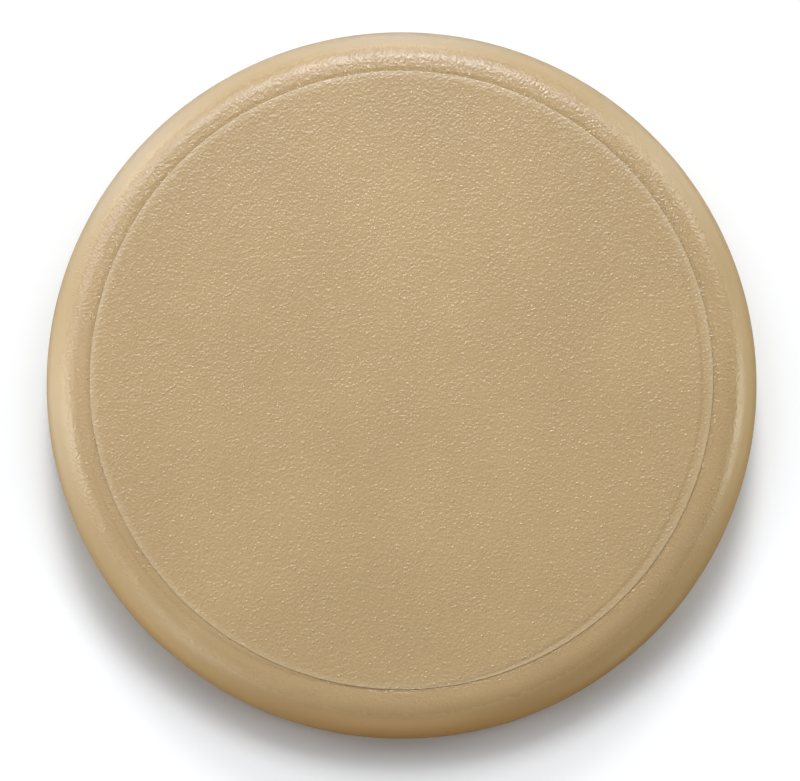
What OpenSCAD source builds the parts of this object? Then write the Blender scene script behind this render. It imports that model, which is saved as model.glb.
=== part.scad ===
// Dealer button: a round, double-sided marker for card games.
// Two moulded half shells close on a steel weight and are welded at the middle plane.
// Each side has a shallow seat with a thin textured face disc glued into it.
// Origin: centre of the underside. +Z points up through the upper face. Millimetres.

/* [Button] */
// Overall diameter
button_d = 50.8; // [48:0.1:80]
// Overall height, from face disc to face disc
button_h = 6.35; // [6:0.05:10]
// Radius that rounds the outer edge on each side
edge_r = 2.5; // [1.8:0.1:2.6]

/* [Face discs] */
// Diameter of a face disc
face_d = 44.45; // [44:0.05:45]
// Thickness of a face disc
face_t = 0.45; // [0.3:0.05:0.6]
// How far a face disc stands above the rim
face_stand = 0.05; // [0.02:0.01:0.1]
// Bevel on a face disc's outer corner
face_bevel = 0.06; // [0.02:0.01:0.1]
// Thickness of the adhesive under a face disc
adhesive_t = 0.1; // [0.05:0.01:0.15]
// Margin between the adhesive's edge and the face disc's edge
adhesive_margin = 0.6; // [0.2:0.1:1.5]

/* [Weight] */
// Diameter of the steel slug
slug_d = 42; // [36:0.5:42]
// Thickness of the steel slug
slug_t = 2; // [1.5:0.1:2]
// Number of locating pins and of holes in the slug
pin_count = 3; // [2:1:6]
// Diameter of a locating pin
pin_d = 3; // [2:0.1:4]

/* [Shells] */
// Wall between a face disc's seat and the pocket for the slug
face_wall = 1.2; // [1:0.1:1.3]
// Number of ribs that hold the slug in each shell
rib_count = 9; // [3:3:12]
// Width of a rib
rib_w = 1.2; // [0.8:0.1:2]

/* [Hidden] */
$fn = 128;

// Fits and small edges
seat_gap = 0.05;        // face disc to seat wall, radial
slug_gap = 0.3;         // slug to pocket wall, radial
hole_gap = 0.15;        // locating pin to slug hole, radial
socket_gap = 0.05;      // locating pin to socket, radial
rib_gap = 0.02;         // rib tip to slug
joint_gap = 0.05;       // tongue to groove, on each side
groove_w = 0.35;        // width of the soft dip between the seat and the rim's crown
groove_depth = 0.012;   // depth of that dip
parting_bevel = 0.06;   // bevel at the parting line, on each shell
slug_bevel = 0.25;      // bevel on the slug's stamped edges

// Radii
button_r = button_d / 2;
face_r = face_d / 2;
seat_r = face_r + seat_gap;
slug_r = slug_d / 2;
pocket_r = slug_r + slug_gap;
pin_r = pin_d / 2;
pin_circle_r = slug_r * 0.6;

// Heights above the middle plane
half_h = button_h / 2;
crown_z = half_h - face_stand;
seat_z = half_h - face_t - adhesive_t;
ceiling_z = seat_z - face_wall;
rib_tip_z = slug_t / 2 + rib_gap;

// The welded joint between the shells
tongue_w = 1.2;
tongue_h = 0.8;
tongue_mid_r = (pocket_r + button_r) / 2 - edge_r / 4;

// Ribs, hub and bosses inside each shell
hub_r = 3.5;
boss_r = pin_r + 1.4;
land_w = 0.8;
pin_reach = rib_tip_z + 0.5;     // how far a pin's tip stands past the middle plane
socket_top_z = pin_reach + 0.15;
pin_tip_bevel = 0.3;

cut = 1;    // how far a cutting shape runs past what it cuts

shell_colour = [0.75, 0.66, 0.5];
face_colour = [0.72, 0.63, 0.47];
adhesive_colour = [0.87, 0.84, 0.74];
steel_colour = [0.6, 0.61, 0.62];

// Places its children with the middle plane at the button's mid height, facing up.
module upper_side() {
    translate([0, 0, half_h]) children();
}

// The same, turned over for the underside.
module lower_side() {
    translate([0, 0, half_h]) mirror([0, 0, 1]) children();
}

// Half of the body's section from the axis outwards, above the middle plane.
module outer_section() {
    difference() {
        union() {
            square([button_r - edge_r, crown_z]);
            square([button_r, crown_z - edge_r]);
            intersection() {
                translate([button_r - edge_r, crown_z - edge_r]) circle(r = edge_r);
                square([button_r, crown_z]);
            }
        }
        seat_section();
        polygon([[button_r - parting_bevel, 0], [button_r + cut, cut + parting_bevel],
                 [button_r + cut, -cut], [button_r - parting_bevel, -cut]]);
    }
}

// The seat for a face disc, and the soft dip that leads into it from the rim's crown.
module seat_section() {
    translate([0, seat_z]) square([seat_r, crown_z]);
    polygon([[seat_r - cut, crown_z - groove_depth], [seat_r, crown_z - groove_depth],
             [seat_r + groove_w, crown_z], [seat_r + groove_w, crown_z + cut],
             [seat_r - cut, crown_z + cut]]);
}

// The pocket that the slug lies in, without its ribs.
module pocket_section() {
    translate([0, -cut]) square([pocket_r, ceiling_z + cut]);
}

// Ring round the axis, between two radii and two heights.
module ring(inner_r, outer_r, low_z, high_z) {
    rotate_extrude()
        translate([inner_r, low_z])
            square([outer_r - inner_r, high_z - low_z]);
}

// Children once for each locating pin.
module at_pins() {
    for (i = [0 : pin_count - 1])
        rotate([0, 0, 360 * i / pin_count])
            translate([pin_circle_r, 0, 0])
                children();
}

// Ribs, hub, land and pin bosses that reach from the pocket's ceiling to the slug.
module slug_supports() {
    support_h = ceiling_z - rib_tip_z;
    ring(pocket_r - land_w, pocket_r + cut / 2, rib_tip_z, ceiling_z + cut / 2);
    translate([0, 0, rib_tip_z]) cylinder(r = hub_r, h = support_h + cut / 2);
    for (i = [0 : rib_count - 1])
        rotate([0, 0, 360 * (i + 0.5) / rib_count])
            translate([hub_r - cut, -rib_w / 2, rib_tip_z])
                cube([pocket_r - hub_r + cut - land_w / 2, rib_w, support_h + cut / 2]);
    at_pins() translate([0, 0, rib_tip_z]) cylinder(r = boss_r, h = support_h + cut / 2);
}

// What the two shells have in common, above the middle plane.
module shell_half() {
    rotate_extrude() difference() {
        outer_section();
        pocket_section();
    }
    slug_supports();
}

// A locating pin with a bevelled tip, which points down through the middle plane.
module locating_pin() {
    rotate_extrude() polygon([
        [0, -pin_reach],
        [pin_r - pin_tip_bevel, -pin_reach],
        [pin_r, -pin_reach + pin_tip_bevel],
        [pin_r, ceiling_z + cut / 2],
        [0, ceiling_z + cut / 2],
    ]);
}

module lower_shell() {
    color(shell_colour) lower_side() {
        shell_half();
        ring(tongue_mid_r - tongue_w / 2, tongue_mid_r + tongue_w / 2, -tongue_h, cut / 2);
        at_pins() locating_pin();
    }
}

module upper_shell() {
    groove_half_w = tongue_w / 2 + joint_gap;
    color(shell_colour) upper_side() difference() {
        shell_half();
        ring(tongue_mid_r - groove_half_w, tongue_mid_r + groove_half_w, -cut, tongue_h + joint_gap);
        at_pins() cylinder(r = pin_r + socket_gap, h = socket_top_z);
    }
}

module weight_slug() {
    slug_half_t = slug_t / 2;
    color(steel_colour) upper_side() difference() {
        rotate_extrude() polygon([
            [0, -slug_half_t],
            [slug_r - slug_bevel, -slug_half_t],
            [slug_r, -slug_half_t + slug_bevel],
            [slug_r, slug_half_t - slug_bevel],
            [slug_r - slug_bevel, slug_half_t],
            [0, slug_half_t],
        ]);
        at_pins() translate([0, 0, -slug_t]) cylinder(r = pin_r + hole_gap, h = 2 * slug_t);
    }
}

// The adhesive layer on a seat, above the middle plane.
module adhesive() {
    translate([0, 0, seat_z]) cylinder(r = face_r - adhesive_margin, h = adhesive_t);
}

module upper_adhesive() {
    color(adhesive_colour) upper_side() adhesive();
}

module lower_adhesive() {
    color(adhesive_colour) lower_side() adhesive();
}

// A face disc on its adhesive, above the middle plane.
module face_disc() {
    translate([0, 0, half_h - face_t]) rotate_extrude() polygon([
        [0, 0],
        [face_r, 0],
        [face_r, face_t - face_bevel],
        [face_r - face_bevel, face_t],
        [0, face_t],
    ]);
}

module upper_face_disc() {
    color(face_colour) upper_side() face_disc();
}

module lower_face_disc() {
    color(face_colour) lower_side() face_disc();
}

lower_shell();
upper_shell();
weight_slug();
lower_adhesive();
upper_adhesive();
lower_face_disc();
upper_face_disc();
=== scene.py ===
"""Looks of the dealer button: two tan moulded shells, a textured disc in each face, and the steel inside.

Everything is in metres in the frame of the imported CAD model, +Z up, with the button lying on z = 0.
Outer sizes come from the CAD nodes' boxes, and the small ones are named below.
"""
import math

import bmesh
import bpy
import numpy as np
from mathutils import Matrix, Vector, noise


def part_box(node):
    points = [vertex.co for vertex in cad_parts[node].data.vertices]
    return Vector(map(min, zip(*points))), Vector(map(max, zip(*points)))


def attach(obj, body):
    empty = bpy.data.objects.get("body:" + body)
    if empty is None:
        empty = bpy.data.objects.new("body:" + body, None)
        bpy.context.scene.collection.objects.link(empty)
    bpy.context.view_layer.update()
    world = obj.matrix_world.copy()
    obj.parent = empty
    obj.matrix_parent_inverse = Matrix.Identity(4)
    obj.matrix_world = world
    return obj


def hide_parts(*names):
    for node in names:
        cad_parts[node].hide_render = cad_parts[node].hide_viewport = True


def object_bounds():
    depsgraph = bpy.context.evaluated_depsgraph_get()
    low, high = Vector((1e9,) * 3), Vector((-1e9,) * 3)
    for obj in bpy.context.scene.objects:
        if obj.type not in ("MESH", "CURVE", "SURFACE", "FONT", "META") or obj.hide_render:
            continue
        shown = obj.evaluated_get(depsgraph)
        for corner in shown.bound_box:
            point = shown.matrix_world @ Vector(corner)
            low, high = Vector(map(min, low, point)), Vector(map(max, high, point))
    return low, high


MM = 0.001

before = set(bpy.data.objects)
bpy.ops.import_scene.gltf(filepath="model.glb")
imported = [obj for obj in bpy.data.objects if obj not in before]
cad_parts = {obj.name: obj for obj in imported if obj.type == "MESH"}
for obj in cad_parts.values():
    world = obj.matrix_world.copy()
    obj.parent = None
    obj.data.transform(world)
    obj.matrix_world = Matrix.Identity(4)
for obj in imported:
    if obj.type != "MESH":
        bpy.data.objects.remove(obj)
cad_low, cad_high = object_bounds()

# Sizes read from the CAD nodes
FACE_LOW, FACE_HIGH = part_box("upper_face_disc")
SHELL_LOW, SHELL_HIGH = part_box("upper_shell")
SLUG_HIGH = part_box("weight_slug")[1]
GLUE_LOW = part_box("upper_adhesive")[0]
MIDDLE = SHELL_LOW.z                        # height of the parting line
BUTTON_R = SHELL_HIGH.x
CROWN = SHELL_HIGH.z - MIDDLE               # top of the rim above the parting line
FACE_R = FACE_HIGH.x
FACE_TOP = FACE_HIGH.z - MIDDLE
FACE_BACK = FACE_LOW.z - MIDDLE
SEAT = GLUE_LOW.z - MIDDLE                  # floor of the seat
SLUG_R = SLUG_HIGH.x
SLUG_HALF = SLUG_HIGH.z - MIDDLE

# The rim, where it differs from the CAD model
SEAT_R = FACE_R + 0.006 * MM                # closer to the disc than in the CAD model, which needs room
CREST_SLOPE = 3.0                           # the rim falls outwards from its crest, in degrees
CREST_FALL = 0.02 * MM                      # and its rounded edge lies this much lower

# Sizes of the shells that no box gives, as in the CAD model
DIP_W = 0.35 * MM                           # soft dip that leads from the rim's crest into the seat
DIP_DEPTH = 0.012 * MM
EDGE_R = 2.5 * MM
PARTING_BEVEL = 0.06 * MM
CEILING = SEAT - 1.2 * MM                   # roof of the pocket for the slug
POCKET_R = SLUG_R + 0.3 * MM
RIB_TIP = SLUG_HALF + 0.02 * MM
RIB_COUNT = 9
RIB_W = 1.2 * MM
HUB_R = 3.5 * MM
LAND_W = 0.8 * MM
PIN_COUNT = 3
PIN_R = 1.5 * MM
PIN_CIRCLE_R = 0.6 * SLUG_R
PIN_REACH = RIB_TIP + 0.5 * MM
PIN_BEVEL = 0.3 * MM
BOSS_R = PIN_R + 1.4 * MM
SOCKET_R = PIN_R + 0.05 * MM
SOCKET_TOP = PIN_REACH + 0.15 * MM
TONGUE_W = 1.2 * MM
TONGUE_H = 0.8 * MM
TONGUE_MID_R = (POCKET_R + BUTTON_R) / 2 - EDGE_R / 4
JOINT_GAP = 0.05 * MM

# How finely the surfaces are cut up
FACE_RINGS = 150                            # rings of the face disc's grid, six more points on each
TURNS = 6 * FACE_RINGS                      # points round a full circle on the discs
SHELL_TURNS = 1152                          # points round a full circle on the shells
GRAIN_STEP = 0.14 * MM                      # distance between rows where the grain shows
CURVE_STEP = 0.25 * MM                      # distance between rows on the smooth outer edge
DIP_ROWS = 6                                # rows across the soft dip
MARGIN_ROWS = 7                             # rows across the face disc's margin
TINY = 0.004 * MM                           # keeps a sharp corner's shading from spreading

# The moulded grain in the meshes
GRAIN_SIZE = 0.3 * MM
GRAIN_HEIGHT = 0.003 * MM
GRAIN_END_R = 24.7 * MM                     # the grain has faded out here, and the outer edge is smooth
GRAIN_FADE = 0.9 * MM                       # width over which it fades
RIM_GRAIN = 0.5                             # height of the rim's grain beside the face's

# The finest grain, which only the shader has
DOME_SIZE = 0.26 * MM
DOME_R = 0.45                               # radius of a dome, in shares of its size
DOME_SHARE = 0.6                            # share of the places that have a dome
DOME_HEIGHT = 0.031 * MM
FINE_SIZE = 0.2 * MM                        # finer noise between the domes
FINE_PART = 1.4                             # and its height beside theirs

# The plastic's surface
TAN = (0.35, 0.251, 0.1355, 1.0)
PALE_RUB_AND_SHEEN = (0.62, 0.55, 0.42, 1.0)              # rubbed plastic, and a painted sheen on the face disc's lip
SHADE_AND_SOIL_COLOUR = (0.16, 0.1, 0.042, 1.0)              # painted shade in a corner, with some soil
FACE_ROUGH = 0.265
RIM_ROUGH = 0.2
ROUGH_SIZE = 0.5 * MM                       # size of the patches of different roughness
ROUGH_CHANGE = 0.04                         # and how far they go up and down
SATIN_ROUGH = 0.5                           # roughness of the outer edge, beyond the grain
SATIN_GRAIN = 0.18                          # share of the finest grain that is left there
CLOUD_SIZE = 9 * MM                         # size of the faint clouds in the colour
CLOUD = 0.045                               # and how much lighter and darker they are
DULL = 0.4                                  # how far the face's outer part leans to the darker side
NOISE_LOW = 0.3                             # most of a noise's values lie between these
NOISE_HIGH = 0.7

# Tint beside the joint between a face disc and its shell, partly wear and partly painted light: share of the
# other colour, and width
RUB_AND_SHEEN = 0.15                               # on the disc's edge: rubbed plastic with a painted sheen
RUB_AND_SHEEN_W = 0.6 * MM
CORNER_SHADE_AND_SOIL = 0.15                               # in the rim's corner: painted shade, with some soil
CORNER_SHADE_AND_SOIL_W = 0.5 * MM

# The face disc's margin and corner
MARGIN_W = 0.68 * MM
MARGIN_DROP = 0.017 * MM                    # how far the margin falls towards the corner
FACE_CORNER = 0.045 * MM

# The faint second circle left by an off-centre press
GHOST_R = 22.2 * MM
GHOST_SHIFT = 0.79 * MM                     # how far its centre lies towards -X
GHOST_DEPTH = 0.022 * MM
GHOST_IN = 0.4 * MM                         # width of its shallow inner side
GHOST_IN_PART = 0.35                        # depth of that side beside the outer one
GHOST_OUT = 0.5 * MM                        # width of its outer side
GHOST_PAINTED_SHADE = 0.18                           # share of painted shade in its line
GHOST_LINE_W = 0.2 * MM


# ---------------------------------------------------------------- relief

def smooth(low, high, x):
    """0 below low, 1 above high, and a smooth step between."""
    t = np.clip((x - low) / (high - low), 0.0, 1.0)
    return t * t * (3.0 - 2.0 * t)


def noise_at(x, y, size, seed):
    """Smooth noise over the plane, about -1 to 1, with bumps of the given size."""
    values = [noise.noise(Vector((a / size, b / size, seed))) for a, b in zip(x, y)]
    return np.array(values)


def grain(x, y, seed):
    """Height of the moulded grain: low pebbles on broader waves."""
    broad = noise_at(x, y, 3.5 * GRAIN_SIZE, seed)
    main = noise_at(x, y, GRAIN_SIZE, seed + 10.0)
    return GRAIN_HEIGHT * (0.6 * broad + main)


def ghost(x, y):
    """Depth of the faint second circle, strongest on the -Y side."""
    out = np.hypot(x + GHOST_SHIFT, y) - GHOST_R
    inside = np.where(out < 0, np.clip(1.0 + out / GHOST_IN, 0.0, 1.0) ** 2 * GHOST_IN_PART, 0.0)
    beyond = np.where(out >= 0, np.clip(1.0 - out / GHOST_OUT, 0.0, 1.0) ** 1.5, 0.0)
    strength = np.clip(0.65 - 0.5 * y / GHOST_R, 0.15, 1.0)
    return GHOST_DEPTH * strength * (inside + beyond)


# ---------------------------------------------------------------- mesh building

def new_piece(name, points, faces):
    """A mesh object from points and faces, with smooth shading."""
    mesh = bpy.data.meshes.new(name)
    mesh.from_pydata([tuple(p) for p in points], [], faces)
    mesh.polygons.foreach_set("use_smooth", [True] * len(mesh.polygons))
    mesh.update()
    piece = bpy.data.objects.new(name, mesh)
    bpy.context.scene.collection.objects.link(piece)
    return piece


def ring_angles(count):
    return 2.0 * math.pi * np.arange(count) / count


def ring_band(start_a, start_b, count):
    """Quads between two rings of points."""
    after = [(i + 1) % count for i in range(count)]
    return [(start_a + i, start_b + i, start_b + after[i], start_a + after[i]) for i in range(count)]


def disc_faces(rings):
    """Triangles of a disc whose ring k has 6k points, with the centre as point 0."""
    faces = [(0, 1 + i, 1 + (i + 1) % 6) for i in range(6)]
    inner_start = 1
    for k in range(1, rings):
        outer_start = inner_start + 6 * k
        for side in range(6):
            for i in range(k + 1):
                outer = side * (k + 1) + i
                inner = side * k + i
                a = outer_start + outer
                b = outer_start + (outer + 1) % (6 * (k + 1))
                c = inner_start + inner % (6 * k)
                faces.append((c, a, b))
                if i < k:
                    d = inner_start + (inner + 1) % (6 * k)
                    faces.append((c, b, d))
        inner_start = outer_start
    return faces


def disc_points(rings, radius):
    """x and y of the points that disc_faces joins."""
    x = [0.0]
    y = [0.0]
    for k in range(1, rings + 1):
        angles = ring_angles(6 * k)
        x.extend(radius * k / rings * np.cos(angles))
        y.extend(radius * k / rings * np.sin(angles))
    return np.array(x), np.array(y)


def revolve(profile, turns):
    """x, y and z of a closed section turned round the axis. The first and last points are on the axis."""
    angles = ring_angles(turns)
    x = [0.0]
    y = [0.0]
    z = [profile[0][1]]
    for r, height in profile[1:-1]:
        x.extend(r * np.cos(angles))
        y.extend(r * np.sin(angles))
        z.extend([height] * turns)
    x.append(0.0)
    y.append(0.0)
    z.append(profile[-1][1])
    return np.array(x), np.array(y), np.array(z)


def revolve_faces(rows, turns):
    """Faces for revolve, with rows rings between the two points on the axis."""
    last = 1 + rows * turns
    faces = [(0, 1 + i, 1 + (i + 1) % turns) for i in range(turns)]
    for k in range(rows - 1):
        faces.extend(ring_band(1 + k * turns, 1 + (k + 1) * turns, turns))
    end = 1 + (rows - 1) * turns
    faces.extend((end + i, last, end + (i + 1) % turns) for i in range(turns))
    return faces


def place(piece, up):
    """Lifts a piece built above the middle plane to its place, turned over for the underside."""
    side = 1.0 if up else -1.0
    for vertex in piece.data.vertices:
        vertex.co.z = MIDDLE + side * vertex.co.z
    if not up:
        piece.data.flip_normals()
    piece.data.update()


def line(start, end, step):
    """Points from start to end, without the end, about one step apart."""
    length = math.dist(start, end)
    count = max(1, round(length / step))
    return [tuple(np.add(start, np.subtract(end, start) * i / count)) for i in range(count)]


def arc(centre, radius, start_deg, end_deg, step):
    """Points on an arc, without its end, about one step apart."""
    count = max(2, round(radius * math.radians(abs(end_deg - start_deg)) / step))
    angles = np.radians(np.linspace(start_deg, end_deg, count + 1)[:-1])
    return [(centre[0] + radius * math.cos(a), centre[1] + radius * math.sin(a)) for a in angles]


# ---------------------------------------------------------------- face discs

def disc_profile():
    """Section of a face disc from the end of its flat middle round its corner to the back."""
    edge_z = FACE_TOP - MARGIN_DROP
    centre = (FACE_R - FACE_CORNER, edge_z - FACE_CORNER)
    points = []
    for t in np.linspace(0.0, 1.0, MARGIN_ROWS + 1)[1:]:
        points.append((FACE_R - MARGIN_W + t * (MARGIN_W - FACE_CORNER), FACE_TOP - MARGIN_DROP * t ** 2))
    points += arc(centre, FACE_CORNER, 60.0, 0.0, 0.015 * MM)
    points += [(FACE_R, centre[1]), (FACE_R, centre[1] - 0.01 * MM)]
    points += [(FACE_R, FACE_BACK + 2 * FACE_CORNER), (FACE_R, FACE_BACK + FACE_CORNER)]
    points += [(FACE_R - FACE_CORNER, FACE_BACK), (FACE_R - 2 * FACE_CORNER, FACE_BACK)]
    return points


def face_disc(name, up, seed):
    """A textured disc: flat, falling slightly over its margin, with a rounded corner."""
    x, y = disc_points(FACE_RINGS, FACE_R - MARGIN_W)
    z = np.full(len(x), FACE_TOP)
    faces = disc_faces(FACE_RINGS)
    angles = ring_angles(TURNS)
    for ring_r, height in disc_profile():
        start = len(x) - TURNS
        x = np.append(x, ring_r * np.cos(angles))
        y = np.append(y, ring_r * np.sin(angles))
        z = np.append(z, np.full(TURNS, height))
        faces.extend(ring_band(start, start + TURNS, TURNS))
    start = len(x) - TURNS
    faces.extend((start + i, len(x), start + (i + 1) % TURNS) for i in range(TURNS))
    top = z > FACE_TOP - MARGIN_DROP - FACE_CORNER
    bumps = grain(x[top], y[top], seed) - GRAIN_HEIGHT
    if up:
        bumps -= ghost(x[top], y[top])
    z[top] += bumps * smooth(FACE_R, FACE_R - 2 * FACE_CORNER, np.hypot(x[top], y[top]))
    points = np.append(np.stack([x, y, z], axis=1), [[0.0, 0.0, FACE_BACK]], axis=0)
    piece = new_piece(name, points, faces)
    place(piece, up)
    return piece


# ---------------------------------------------------------------- shells

def shell_profile(up):
    """Section of a shell from the axis outwards over the seat, round the edge and back under."""
    dip = CROWN - DIP_DEPTH
    points = [(0.0, SEAT), (SEAT_R - 0.8 * MM, SEAT), (SEAT_R, SEAT), (SEAT_R, dip - TINY), (SEAT_R, dip)]
    for t in np.linspace(0.0, 1.0, DIP_ROWS + 1)[:-1]:
        rise = 0.5 - 0.5 * math.cos(math.pi * t)
        points.append((SEAT_R + TINY + (DIP_W - TINY) * t, dip + DIP_DEPTH * rise))
    centre = (BUTTON_R - EDGE_R, CROWN - EDGE_R - CREST_FALL)
    edge = arc(centre, EDGE_R, 90.0 - CREST_SLOPE, 50.0, GRAIN_STEP)
    points += line((SEAT_R + DIP_W, CROWN), edge[0], GRAIN_STEP) + edge
    points += arc(centre, EDGE_R, 50.0, 0.0, CURVE_STEP)
    points += line((BUTTON_R, centre[1]), (BUTTON_R, PARTING_BEVEL * 1.5), CURVE_STEP)
    points += [(BUTTON_R - 0.15 * PARTING_BEVEL, PARTING_BEVEL), (BUTTON_R - PARTING_BEVEL, 0.0)]
    half_w = TONGUE_W / 2 + (JOINT_GAP if up else 0.0)
    depth = TONGUE_H + JOINT_GAP if up else -TONGUE_H
    points += [(TONGUE_MID_R + half_w, 0.0), (TONGUE_MID_R + half_w, depth)]
    points += [(TONGUE_MID_R - half_w, depth), (TONGUE_MID_R - half_w, 0.0)]
    land_r = POCKET_R - LAND_W
    points += [(POCKET_R, 0.0), (POCKET_R, RIB_TIP), (land_r, RIB_TIP), (land_r, CEILING), (0.0, CEILING)]
    return points


def solid_cylinder(radius, low, high, bevel=0.0, turns=48):
    """A closed cylinder with a bevel at its low end."""
    mesh = bmesh.new()
    rings = [(radius - bevel, low), (radius, low + bevel), (radius, high)]
    if bevel == 0.0:
        rings = rings[1:]
    made = []
    for r, height in rings:
        made.append([mesh.verts.new((r * math.cos(a), r * math.sin(a), height)) for a in ring_angles(turns)])
    for lower, upper in zip(made, made[1:]):
        for i in range(turns):
            mesh.faces.new((lower[i], lower[(i + 1) % turns], upper[(i + 1) % turns], upper[i]))
    mesh.faces.new(list(reversed(made[0])))
    mesh.faces.new(made[-1])
    return mesh


def solid_box(low, high):
    """A closed box between two corners."""
    mesh = bmesh.new()
    bmesh.ops.create_cube(mesh, size=1.0)
    for vertex in mesh.verts:
        for axis in range(3):
            vertex.co[axis] = low[axis] if vertex.co[axis] < 0 else high[axis]
    return mesh


def as_object(mesh, name, turn=0.0, shift=0.0):
    """A bmesh as an object, moved out along +X and then turned about the axis."""
    for vertex in mesh.verts:
        x = vertex.co.x + shift
        y = vertex.co.y
        vertex.co.x = x * math.cos(turn) - y * math.sin(turn)
        vertex.co.y = x * math.sin(turn) + y * math.cos(turn)
    data = bpy.data.meshes.new(name)
    mesh.to_mesh(data)
    mesh.free()
    tool = bpy.data.objects.new(name, data)
    bpy.context.scene.collection.objects.link(tool)
    return tool


def combine(piece, tools, operation):
    """Adds closed tools to a piece, or cuts them out of it, and removes them."""
    for tool in tools:
        modifier = piece.modifiers.new("combine", "BOOLEAN")
        modifier.operation = operation
        modifier.solver = "MANIFOLD"
        modifier.object = tool
    bpy.context.view_layer.update()
    evaluated = piece.evaluated_get(bpy.context.evaluated_depsgraph_get())
    result = bpy.data.meshes.new_from_object(evaluated)
    piece.modifiers.clear()
    old = piece.data
    piece.data = result
    bpy.data.meshes.remove(old)
    for tool in tools:
        data = tool.data
        bpy.data.objects.remove(tool)
        bpy.data.meshes.remove(data)


def slug_supports():
    """Hub, ribs, outer land and pin bosses that reach from the ceiling down to the slug."""
    top = CEILING + 0.3 * MM
    tools = [as_object(solid_cylinder(HUB_R, RIB_TIP, top), "hub")]
    for i in range(RIB_COUNT):
        rib = solid_box((HUB_R - MM, -RIB_W / 2, RIB_TIP), (POCKET_R + 0.3 * MM, RIB_W / 2, top))
        tools.append(as_object(rib, "rib", turn=2.0 * math.pi * (i + 0.5) / RIB_COUNT))
    for i in range(PIN_COUNT):
        boss = solid_cylinder(BOSS_R, RIB_TIP, top)
        tools.append(as_object(boss, "boss", turn=2.0 * math.pi * i / PIN_COUNT, shift=PIN_CIRCLE_R))
    return tools


def pin_tools(radius, low, high, bevel=0.0):
    return [as_object(solid_cylinder(radius, low, high, bevel), "pin",
                      turn=2.0 * math.pi * i / PIN_COUNT, shift=PIN_CIRCLE_R) for i in range(PIN_COUNT)]


def shell(name, up, seed):
    """A moulded half shell, with the grain on its rim and the supports for the slug inside."""
    profile = shell_profile(up)
    x, y, z = revolve(profile, SHELL_TURNS)
    r = np.hypot(x, y)
    outside = (r > SEAT_R - 0.01 * MM) & (z > CROWN - DIP_DEPTH - EDGE_R) & (z > 0.2 * MM)
    shown = np.flatnonzero(outside)
    fade = 1.0 - smooth(GRAIN_END_R - GRAIN_FADE, GRAIN_END_R, r[shown])
    bumps = RIM_GRAIN * (grain(x[shown], y[shown], seed) - GRAIN_HEIGHT) * fade
    if up:
        bumps -= ghost(x[shown], y[shown]) * fade
    z[shown] += bumps
    piece = new_piece(name, np.stack([x, y, z], axis=1), revolve_faces(len(profile) - 2, SHELL_TURNS))
    combine(piece, slug_supports(), "UNION")
    if up:
        combine(piece, pin_tools(SOCKET_R, 0.0, SOCKET_TOP), "DIFFERENCE")
    else:
        combine(piece, pin_tools(PIN_R, -PIN_REACH, CEILING + 0.3 * MM, PIN_BEVEL), "UNION")
    place(piece, up)
    return piece


# ---------------------------------------------------------------- materials

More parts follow.
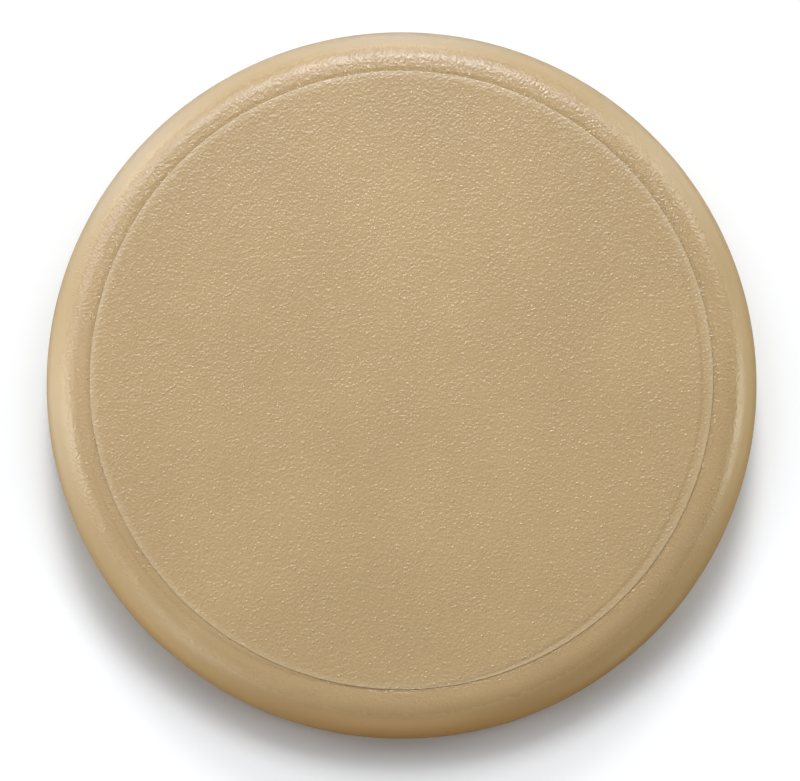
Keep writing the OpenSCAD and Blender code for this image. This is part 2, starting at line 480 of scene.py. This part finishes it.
class Nodes:
    """Short ways to add shader nodes to a material."""

    def __init__(self, name):
        self.material = bpy.data.materials.new(name)
        self.material.use_nodes = True
        self.tree = self.material.node_tree
        self.shader = self.tree.nodes["Principled BSDF"]
        self.place = self.add("ShaderNodeTexCoord").outputs["Object"]

    def add(self, kind, links=None, **settings):
        node = self.tree.nodes.new(kind)
        for key, value in settings.items():
            setattr(node, key, value)
        for socket, value in (links or {}).items():
            self.feed(node.inputs[socket], value)
        return node

    def feed(self, socket, value):
        if isinstance(value, bpy.types.NodeSocket):
            self.tree.links.new(value, socket)
        else:
            socket.default_value = value

    def noise(self, size, detail=2.0, roughness=0.5, stretch=None):
        """Noise with features of a size in metres, about 0.5 on average."""
        place = self.place
        if stretch:
            place = self.add("ShaderNodeMapping", {"Vector": place, "Scale": stretch}).outputs["Vector"]
        node = self.add("ShaderNodeTexNoise", {"Vector": place, "Scale": 1.0 / size, "Detail": detail,
                                               "Roughness": roughness})
        return node.outputs["Fac"]

    def domes(self, size, share):
        """Small round domes of a size in metres, apart from each other and of random heights up to 1."""
        cells = self.add("ShaderNodeTexVoronoi", {"Vector": self.place, "Scale": 1.0 / size})
        chance = self.add("ShaderNodeSeparateColor", {"Color": cells.outputs["Color"]}).outputs["Red"]
        dome = self.spread(cells.outputs["Distance"], 0.0, DOME_R, 1.0, 0.0, "SMOOTHSTEP")
        return self.math("MULTIPLY", dome, self.spread(chance, 1.0 - share, 1.0))

    def spread(self, value, low, high, to_low=0.0, to_high=1.0, ease="LINEAR"):
        """Maps low..high to to_low..to_high, and holds it there outside."""
        node = self.add("ShaderNodeMapRange", {"Value": value, "From Min": low, "From Max": high,
                                               "To Min": to_low, "To Max": to_high}, interpolation_type=ease)
        return node.outputs["Result"]

    def math(self, operation, *values):
        return self.add("ShaderNodeMath", dict(enumerate(values)), operation=operation).outputs[0]

    def mix(self, factor, colour_a, colour_b):
        node = self.add("ShaderNodeMix", data_type="RGBA")
        self.feed(node.inputs[0], factor)
        self.feed(node.inputs[6], colour_a)
        self.feed(node.inputs[7], colour_b)
        return node.outputs[2]

    def bump(self, height, distance):
        """Normals for a relief whose height of 1 stands for a distance in metres."""
        links = {"Height": height, "Distance": distance, "Strength": 1.0}
        return self.add("ShaderNodeBump", links).outputs["Normal"]

    def radius(self, centre_x=0.0):
        """Distance from an upright line through the X axis, in metres."""
        moved = self.add("ShaderNodeVectorMath", {0: self.place, 1: (-centre_x, 0.0, 0.0)}).outputs["Vector"]
        flat = self.add("ShaderNodeVectorMath", {0: moved, 1: (1.0, 1.0, 0.0)}, operation="MULTIPLY")
        size = self.add("ShaderNodeVectorMath", {0: flat.outputs["Vector"]}, operation="LENGTH")
        return size.outputs["Value"]

    def ghost_shade_line(self):
        """How much painted shade lies along the faint second circle: none towards +Y and -X, where the light
        comes from.
        """
        off = self.math("ABSOLUTE", self.math("SUBTRACT", self.radius(-GHOST_SHIFT), GHOST_R))
        line = self.spread(off, 0.0, GHOST_LINE_W, GHOST_PAINTED_SHADE, 0.0, "SMOOTHSTEP")
        lit_side = (-0.3, 1.0, 0.0)
        side = self.add("ShaderNodeVectorMath", {0: self.place, 1: lit_side}, operation="DOT_PRODUCT")
        strength = self.spread(side.outputs["Value"], 0.15 * GHOST_R, -0.15 * GHOST_R)
        return self.math("MULTIPLY", line, strength)


def shade(colour, factor):
    """A colour made lighter or darker."""
    return tuple(c * factor for c in colour[:3]) + (1.0,)


def tan_plastic(name, grain_end, gloss_rough, tint_wear_and_light):
    """Moulded tan plastic, with a glossy fine grain out to a radius and smooth and satin beyond it.

    The edge tint, partly wear and partly painted light, is given as the radius where it starts, the radius
    where it is strongest, its share there and its colour.
    """
    nodes = Nodes(name)
    tint_start, tint_full, share, tint_colour = tint_wear_and_light
    grained = nodes.spread(nodes.radius(), grain_end - GRAIN_FADE, grain_end, 1.0, 0.0)
    cloud = nodes.spread(nodes.noise(CLOUD_SIZE, 3.0), NOISE_LOW, NOISE_HIGH)
    dull = nodes.spread(nodes.radius(), 0.3 * FACE_R, FACE_R, 0.0, DULL, "SMOOTHSTEP")
    cloud = nodes.math("SUBTRACT", cloud, dull)
    colour = nodes.mix(cloud, shade(TAN, 1.0 - CLOUD), shade(TAN, 1.0 + CLOUD))
    # edge tint: rubbed plastic with a painted sheen on the face disc, painted shade with some soil in the
    # rim's corner
    tinted = nodes.spread(nodes.radius(), tint_start, tint_full, 0.0, share, "SMOOTHSTEP")
    # painted shade along the faint second circle, none on its lit side
    colour = nodes.mix(nodes.ghost_shade_line(), nodes.mix(tinted, colour, tint_colour), SHADE_AND_SOIL_COLOUR)
    nodes.feed(nodes.shader.inputs["Base Color"], colour)
    rough = nodes.spread(nodes.noise(ROUGH_SIZE), NOISE_LOW, NOISE_HIGH,
                         gloss_rough - ROUGH_CHANGE, gloss_rough + ROUGH_CHANGE)
    rough = nodes.math("ADD", rough, nodes.spread(grained, 0.0, 1.0, SATIN_ROUGH - gloss_rough, 0.0))
    nodes.feed(nodes.shader.inputs["Roughness"], rough)
    nodes.shader.inputs["IOR"].default_value = 1.5
    domes = nodes.domes(DOME_SIZE, DOME_SHARE)
    fine = nodes.noise(FINE_SIZE, 1.0)
    height = nodes.math("ADD", domes, nodes.math("MULTIPLY", fine, FINE_PART))
    height = nodes.math("MULTIPLY", height, nodes.spread(grained, 0.0, 1.0, SATIN_GRAIN, 1.0))
    nodes.feed(nodes.shader.inputs["Normal"], nodes.bump(height, DOME_HEIGHT))
    return nodes.material


def adhesive_material():
    """Pale transfer adhesive, dull and streaky."""
    nodes = Nodes("transfer_adhesive")
    streak = nodes.spread(nodes.noise(2.5 * MM, 4.0, 0.6, stretch=(1.0, 0.25, 1.0)), NOISE_LOW, NOISE_HIGH)
    nodes.feed(nodes.shader.inputs["Base Color"],
               nodes.mix(streak, (0.66, 0.6, 0.45, 1.0), (0.78, 0.73, 0.6, 1.0)))
    nodes.feed(nodes.shader.inputs["Roughness"], nodes.spread(streak, 0.0, 1.0, 0.55, 0.75))
    nodes.feed(nodes.shader.inputs["Normal"], nodes.bump(nodes.noise(0.5 * MM, 3.0), 0.03 * MM))
    return nodes.material


def slug_material():
    """Stamped steel with fine rolling lines and a slight tarnish."""
    nodes = Nodes("stamped_steel")
    lines = nodes.noise(1.5 * MM, 4.0, 0.7, stretch=(1.0, 25.0, 1.0))
    tarnish = nodes.spread(nodes.noise(7 * MM, 4.0, 0.6), 0.45, 0.75)
    nodes.feed(nodes.shader.inputs["Base Color"],
               nodes.mix(tarnish, (0.56, 0.57, 0.58, 1.0), (0.36, 0.33, 0.3, 1.0)))
    nodes.shader.inputs["Metallic"].default_value = 1.0
    nodes.feed(nodes.shader.inputs["Roughness"], nodes.spread(lines, NOISE_LOW, NOISE_HIGH, 0.28, 0.5))
    nodes.feed(nodes.shader.inputs["Normal"], nodes.bump(lines, 0.01 * MM))
    return nodes.material


def floor_material():
    """Matt, almost white and slightly cool."""
    nodes = Nodes("studio_floor")
    nodes.shader.inputs["Base Color"].default_value = (0.875, 0.895, 0.92, 1.0)
    nodes.shader.inputs["Roughness"].default_value = 0.9
    nodes.shader.inputs["Specular IOR Level"].default_value = 0.2
    return nodes.material


# ---------------------------------------------------------------- the button

def dress(piece, material, node):
    """Gives a piece its material and makes it stand for a CAD node."""
    piece.data.materials.clear()
    piece.data.materials.append(material)
    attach(piece, "root")
    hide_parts(node)


def paint(node, material):
    """Gives a CAD node that stays a better material."""
    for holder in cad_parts[node].material_slots:
        holder.material = material


def make_button():
    # the face disc's edge is lighter: rubbed plastic with a painted sheen
    face_plastic = tan_plastic("grained_face_plastic", 2 * BUTTON_R, FACE_ROUGH,
                               (FACE_R - RUB_AND_SHEEN_W, FACE_R, RUB_AND_SHEEN, PALE_RUB_AND_SHEEN))
    # the rim's corner beside the face disc is darker: painted shade with some soil
    shell_plastic = tan_plastic("moulded_shell_plastic", GRAIN_END_R, RIM_ROUGH,
                                (FACE_R + CORNER_SHADE_AND_SOIL_W, FACE_R, CORNER_SHADE_AND_SOIL, SHADE_AND_SOIL_COLOUR))
    made = [
        (face_disc("upper_face", True, 1.5), face_plastic, "upper_face_disc", "face_plastic"),
        (face_disc("lower_face", False, 4.5), face_plastic, "lower_face_disc", "face_plastic"),
        (shell("upper_half_shell", True, 2.5), shell_plastic, "upper_shell", "shell_plastic"),
        (shell("lower_half_shell", False, 5.5), shell_plastic, "lower_shell", "shell_plastic"),
    ]
    for piece, material, node, slot in made:
        dress(piece, material, node)
    glue = adhesive_material()
    paint("upper_adhesive", glue)
    paint("lower_adhesive", glue)
    paint("weight_slug", slug_material())
    kept = [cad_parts[node] for node in ("upper_adhesive", "lower_adhesive", "weight_slug")]
    return [piece for piece, material, node, slot in made] + kept


# ---------------------------------------------------------------- studio

def floor():
    """A plain table. It neither lights the button nor shows in it: the bounce lights stand in for that."""
    half = 2.0
    corners = [(-half, -half, 0.0), (half, -half, 0.0), (half, half, 0.0), (-half, half, 0.0)]
    ground = new_piece("floor", corners, [(0, 1, 2, 3)])
    ground.data.materials.append(floor_material())
    ground.visible_glossy = False
    ground.visible_diffuse = False
    return ground


def aim(thing, target):
    thing.rotation_mode = "QUATERNION"
    thing.rotation_quaternion = (target - thing.location).to_track_quat("-Z", "Y")


def direction(azimuth, elevation):
    """Unit vector towards a place in the sky, in degrees. Azimuth 0 is +Y, behind the button; 90 is +X."""
    a = math.radians(azimuth)
    e = math.radians(elevation)
    return Vector((math.sin(a) * math.cos(e), math.cos(a) * math.cos(e), math.sin(e)))


def group(name, members):
    """A collection that says which things a light reaches, or which ones stop it."""
    collection = bpy.data.collections.new(name)
    for member in members:
        collection.objects.link(member)
    return collection


def add_light(name, kind, azimuth, elevation, centre, reaches):
    """A light that looks at the centre and reaches only the things in one group."""
    light = bpy.data.lights.new(name, kind)
    lamp = bpy.data.objects.new(name, light)
    bpy.context.scene.collection.objects.link(lamp)
    lamp.location = centre + LIGHT_DISTANCE * direction(azimuth, elevation)
    aim(lamp, centre)
    lamp.visible_camera = False
    lamp.light_linking.receiver_collection = reaches
    return lamp


def soft_boxes(lights, centre, reaches, stops=None, glossy=True):
    """Soft boxes that reach one group, with highlights or without, and can be stopped by one group alone."""
    for name, azimuth, elevation, power, colour in lights:
        lamp = add_light(name, "AREA", azimuth, elevation, centre, reaches)
        lamp.data.shape = "SQUARE"
        lamp.data.size = LIGHT_SIZE
        lamp.data.energy = power
        lamp.data.color = colour
        lamp.light_linking.blocker_collection = stops
        lamp.visible_glossy = glossy


def soft_sun(name, azimuth, elevation, strength, centre, reaches):
    lamp = add_light(name, "SUN", azimuth, elevation, centre, reaches)
    lamp.data.angle = math.radians(SUN_ANGLE)
    lamp.data.energy = strength


LIGHT_DISTANCE = 0.3
LIGHT_SIZE = 0.1                            # side of a soft box
SUN_ANGLE = 19.0                            # how wide a soft sun looks, in degrees
GLOW = 0.02                                 # what the background throws on things
SEEN = 1.0                                  # and how bright the camera sees it

COOL = (0.87, 0.9, 1.0)
WARM = (1.0, 0.98, 0.9)
AMBER = (1.0, 0.98, 0.79)

# Soft boxes behind the button and on its left: name, azimuth, elevation, watts, colour
HIGH_LIGHTS = [
    ("back_high", 0.0, 54.0, 0.475, COOL),
    ("back_left_high", -45.0, 54.0, 0.18, COOL),
    ("back_left", -45.0, 42.0, 0.095, COOL),
    ("back_right", 45.0, 42.0, 0.215, WARM),
    ("left", -90.0, 42.0, 0.233, WARM),
    ("front_left", -135.0, 42.0, 0.128, AMBER),
]

# A low ring of them, which shapes the rim and gives no highlights on the flat faces
LOW_LIGHTS = [
    ("back_low", 0.0, 18.0, 0.22, WARM),
    ("back_left_low", -45.0, 18.0, 0.28, WARM),
    ("back_right_low", 45.0, 18.0, 0.132, WARM),
    ("left_low", -90.0, 18.0, 0.255, WARM),
    ("right_low", 90.0, 18.0, 0.38, AMBER),
    ("front_left_low", -135.0, 18.0, 0.143, AMBER),
]

# Light thrown back up by the table, mostly warm in front and cool behind
BOUNCE_LIGHTS = [
    ("bounce_front", 180.0, 0.0, 0.23, (1.0, 0.65, 0.34)),
    ("bounce_front_right", 135.0, -15.0, 0.13, (1.0, 0.93, 0.6)),
    ("bounce_front_left", -135.0, -15.0, 0.09, (1.0, 0.72, 0.3)),
    ("bounce_right", 90.0, -15.0, 0.11, (1.0, 0.78, 0.42)),
    ("bounce_left", -90.0, -15.0, 0.2, (0.9, 0.97, 1.0)),
    ("bounce_back_right", 45.0, -15.0, 0.18, (0.9, 1.0, 1.0)),
    ("bounce_back_left", -45.0, -15.0, 0.28, (0.42, 0.64, 0.95)),
    ("bounce_back", 0.0, -15.0, 0.3, (0.47, 0.67, 0.95)),
]

# Light on the floor from behind and the sides, which gives the soft shadow:
# azimuth, elevation, watts to a square metre
FLOOR_LIGHTS = [
    (0.0, 36.0, 1.26),
    (0.0, 48.0, 0.30),
    (0.0, 60.0, 0.83),
    (-35.0, 60.0, 0.42),
    (35.0, 60.0, 0.42),
    (-70.0, 60.0, 0.22),
    (70.0, 60.0, 0.22),
    (-70.0, 48.0, 0.25),
    (70.0, 48.0, 0.25),
    (-105.0, 36.0, 0.44),
    (105.0, 36.0, 0.44),
]


def background():
    """A pale background for the camera that throws almost no light."""
    world = bpy.data.worlds.new("studio")
    world.use_nodes = True
    tree = world.node_tree
    seen = tree.nodes["Background"]
    seen.inputs["Color"].default_value = (1.0, 1.0, 1.0, 1.0)
    rays = tree.nodes.new("ShaderNodeLightPath")
    brightness = tree.nodes.new("ShaderNodeMapRange")
    tree.links.new(rays.outputs["Is Camera Ray"], brightness.inputs["Value"])
    brightness.inputs["To Min"].default_value = GLOW
    brightness.inputs["To Max"].default_value = SEEN
    tree.links.new(brightness.outputs["Result"], seen.inputs["Strength"])
    bpy.context.scene.world = world


def studio(centre, pieces, ground):
    """Soft lights behind the button, a low ring of them, light from the table, and the floor's own lights.

    The flat faces get no highlights from the low ring, and the lower half none from the table.
    """
    button_group = group("lit_button", pieces)
    upper_group = group("lit_upper_half", [piece for piece in pieces if not piece.name.startswith("lower")])
    lower_group = group("lit_lower_half", [piece for piece in pieces if piece.name.startswith("lower")])
    face_group = group("lit_faces", [piece for piece in pieces if piece.name.endswith("face")])
    rim_group = group("lit_rims", [piece for piece in pieces if not piece.name.endswith("face")])
    floor_group = group("lit_floor", [ground])
    soft_boxes(HIGH_LIGHTS, centre, button_group)
    soft_boxes(LOW_LIGHTS, centre, rim_group)
    soft_boxes(LOW_LIGHTS, centre, face_group, glossy=False)
    soft_boxes(BOUNCE_LIGHTS, centre, upper_group, stops=button_group)
    soft_boxes(BOUNCE_LIGHTS, centre, lower_group, stops=button_group, glossy=False)
    for azimuth, elevation, strength in FLOOR_LIGHTS:
        soft_sun("floor_light", azimuth, elevation, strength, centre, floor_group)
    background()


def camera(centre):
    """Almost straight down on the button, from slightly to the -Y side, with a long lens."""
    tilt_deg = 7.0
    distance = 0.6
    seen_width = 57.3 * MM
    off_centre = Vector((-0.11 * MM, -0.455 * MM, 0.0))
    data = bpy.data.cameras.new("camera")
    data.sensor_width = 36.0
    data.lens = data.sensor_width * distance / seen_width
    data.clip_start = 0.01
    data.clip_end = 10.0
    view = bpy.data.objects.new("camera", data)
    bpy.context.scene.collection.objects.link(view)
    tilt = math.radians(tilt_deg)
    target = centre + off_centre
    view.location = target + distance * Vector((0.0, -math.sin(tilt), math.cos(tilt)))
    aim(view, target)
    bpy.context.scene.camera = view


pieces = make_button()
ground = floor()
button_centre = (cad_low + cad_high) / 2
studio(button_centre, pieces, ground)
camera(button_centre)
bpy.context.scene.view_settings.view_transform = "Standard"
